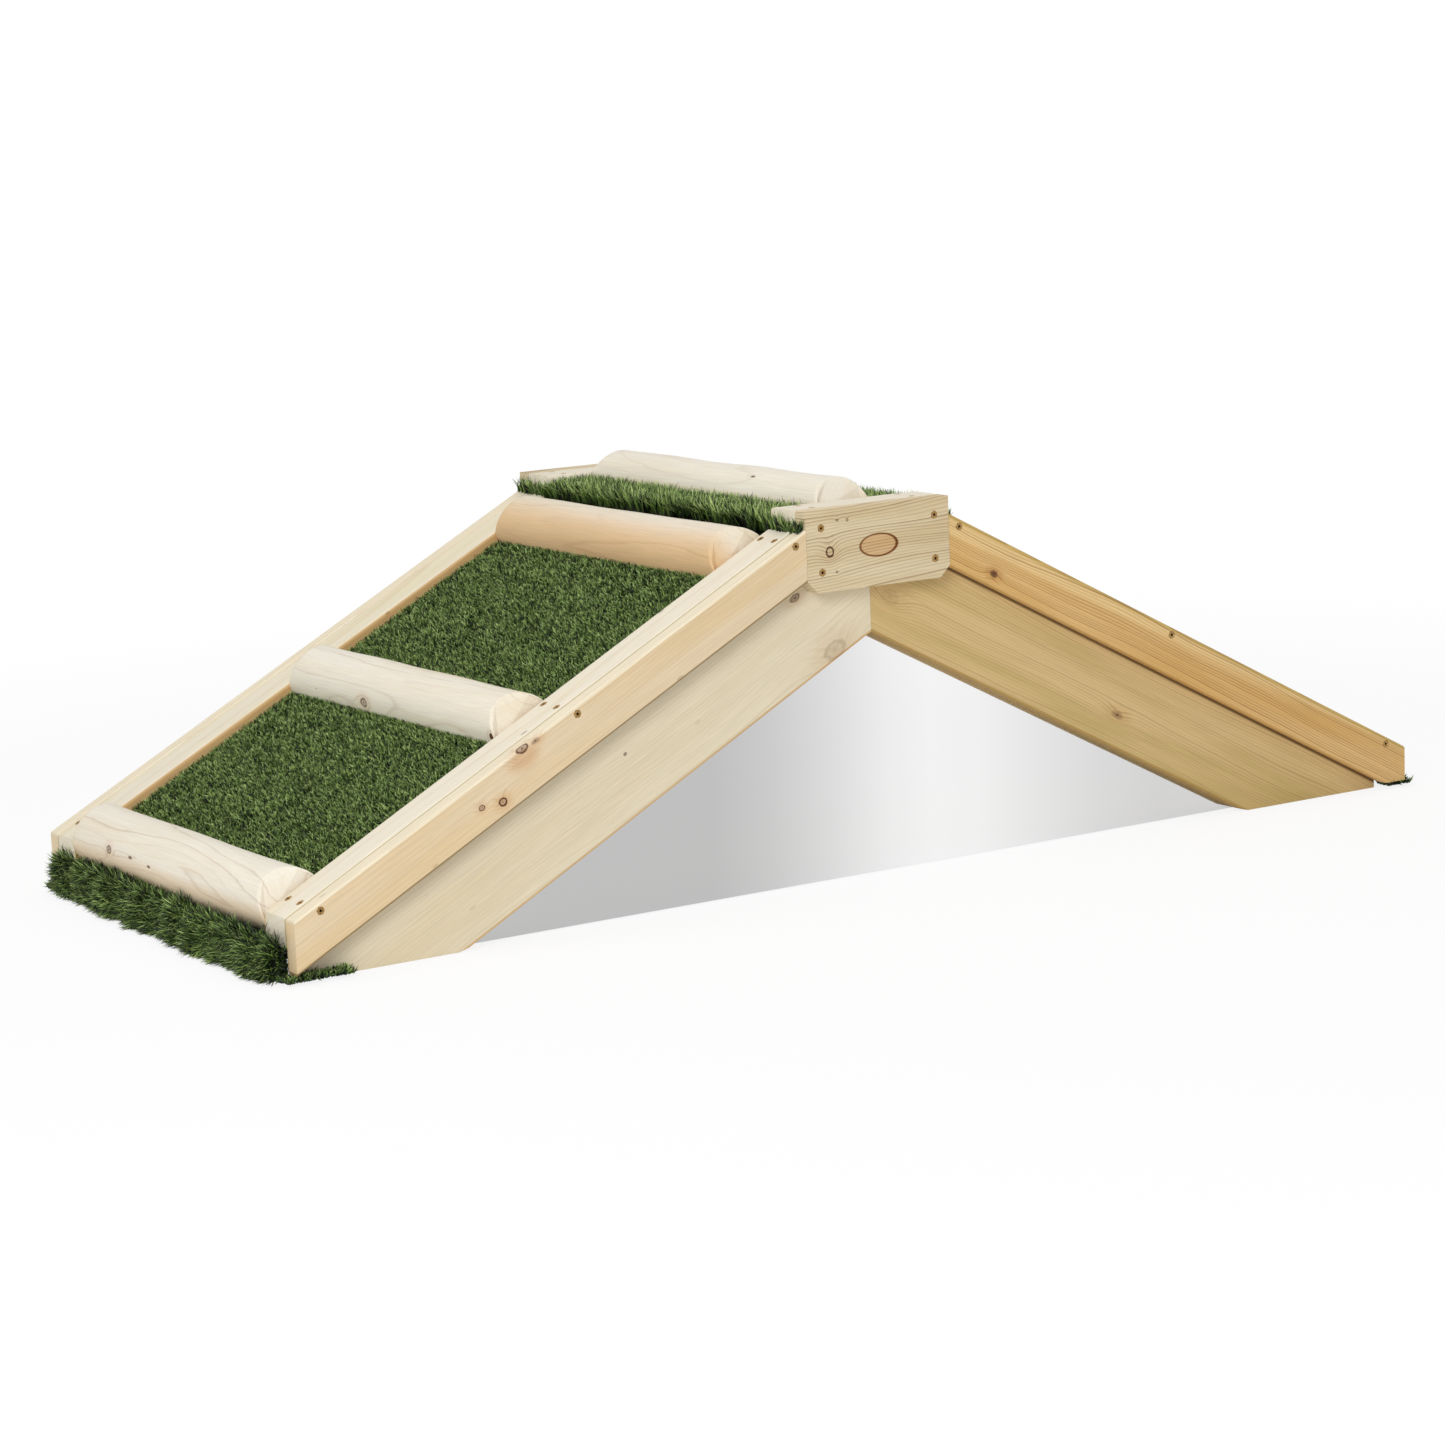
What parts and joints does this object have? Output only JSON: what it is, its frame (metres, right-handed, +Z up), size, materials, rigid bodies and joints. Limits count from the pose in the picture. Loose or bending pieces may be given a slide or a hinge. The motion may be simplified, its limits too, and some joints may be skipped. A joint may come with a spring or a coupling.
{
  "type": "climbing a-frame",
  "caption": "Low toddler climbing frame: turf-covered ramps, one with log rungs, rise between side rails to a short level top with mirrored triangular sides.",
  "frame": {"origin": "the middle of the frame at ground level", "axes": "+X along the length over both ramps, +Y across to the far side, +Z up"},
  "size_m": [1.5348, 0.636, 0.4443],
  "materials": {
    "artificial_turf": "dense upright pile",
    "grained_timber": "planed",
    "green_tan_timber_left": "planed",
    "green_tan_timber_right": "planed",
    "hidden_softwood": "planed",
    "mirror_sheet": "polished",
    "orange_timber_right": "planed",
    "pale_rail_timber": "planed, eased edges",
    "plywood": "bare sheet",
    "round_log_timber": "planed and sanded",
    "screw_steel": "bronze-tinted plating",
    "tan_timber_left": "planed"
  },
  "bodies": {
    "root": {"apex_plate_far": "grained_timber", "apex_plate_near": "grained_timber", "cross_bearer_high_left": "hidden_softwood", "cross_bearer_high_right": "hidden_softwood", "cross_bearer_middle_left": "hidden_softwood", "cross_bearer_middle_right": "hidden_softwood", "deck_left": "plywood", "deck_right": "plywood", "fascia_far_left": "tan_timber_left", "fascia_far_right": "orange_timber_right", "fascia_near_left": "tan_timber_left", "fascia_near_right": "orange_timber_right", "fascia_screw_high_far_left": "screw_steel", "fascia_screw_high_far_right": "screw_steel", "fascia_screw_high_near_left": "screw_steel", "fascia_screw_high_near_right": "screw_steel", "fascia_screw_low_far_left": "screw_steel", "fascia_screw_low_far_right": "screw_steel", "fascia_screw_low_near_left": "screw_steel", "fascia_screw_low_near_right": "screw_steel", "fascia_screw_middle_far_left": "screw_steel", "fascia_screw_middle_far_right": "screw_steel", "fascia_screw_middle_near_left": "screw_steel", "fascia_screw_middle_near_right": "screw_steel", "landing_deck": "plywood", "landing_rail_far": "pale_rail_timber", "landing_rail_near": "pale_rail_timber", "mirror_backing_far": "plywood", "mirror_backing_near": "plywood", "mirror_far": "mirror_sheet", "mirror_near": "mirror_sheet", "plate_screw_left_lower_far": "screw_steel", "plate_screw_left_lower_near": "screw_steel", "plate_screw_left_upper_far": "screw_steel", "plate_screw_left_upper_near": "screw_steel", "plate_screw_right_lower_far": "screw_steel", "plate_screw_right_lower_near": "screw_steel", "plate_screw_right_upper_far": "screw_steel", "plate_screw_right_upper_near": "screw_steel", "ramp_rail_far_left": "pale_rail_timber", "ramp_rail_far_right": "pale_rail_timber", "ramp_rail_near_left": "pale_rail_timber", "ramp_rail_near_right": "pale_rail_timber", "ridge_bearer": "hidden_softwood", "ridge_log": "round_log_timber", "rung_high_left": "round_log_timber", "rung_low_left": "round_log_timber", "rung_middle_left": "round_log_timber", "side_board_far_left": "green_tan_timber_left", "side_board_far_right": "green_tan_timber_right", "side_board_near_left": "green_tan_timber_left", "side_board_near_right": "green_tan_timber_right", "turf_landing": "artificial_turf", "turf_left": "artificial_turf", "turf_right": "artificial_turf", "turf_skirt_left": "artificial_turf", "turf_skirt_right": "artificial_turf"}
  },
  "joints": []
}
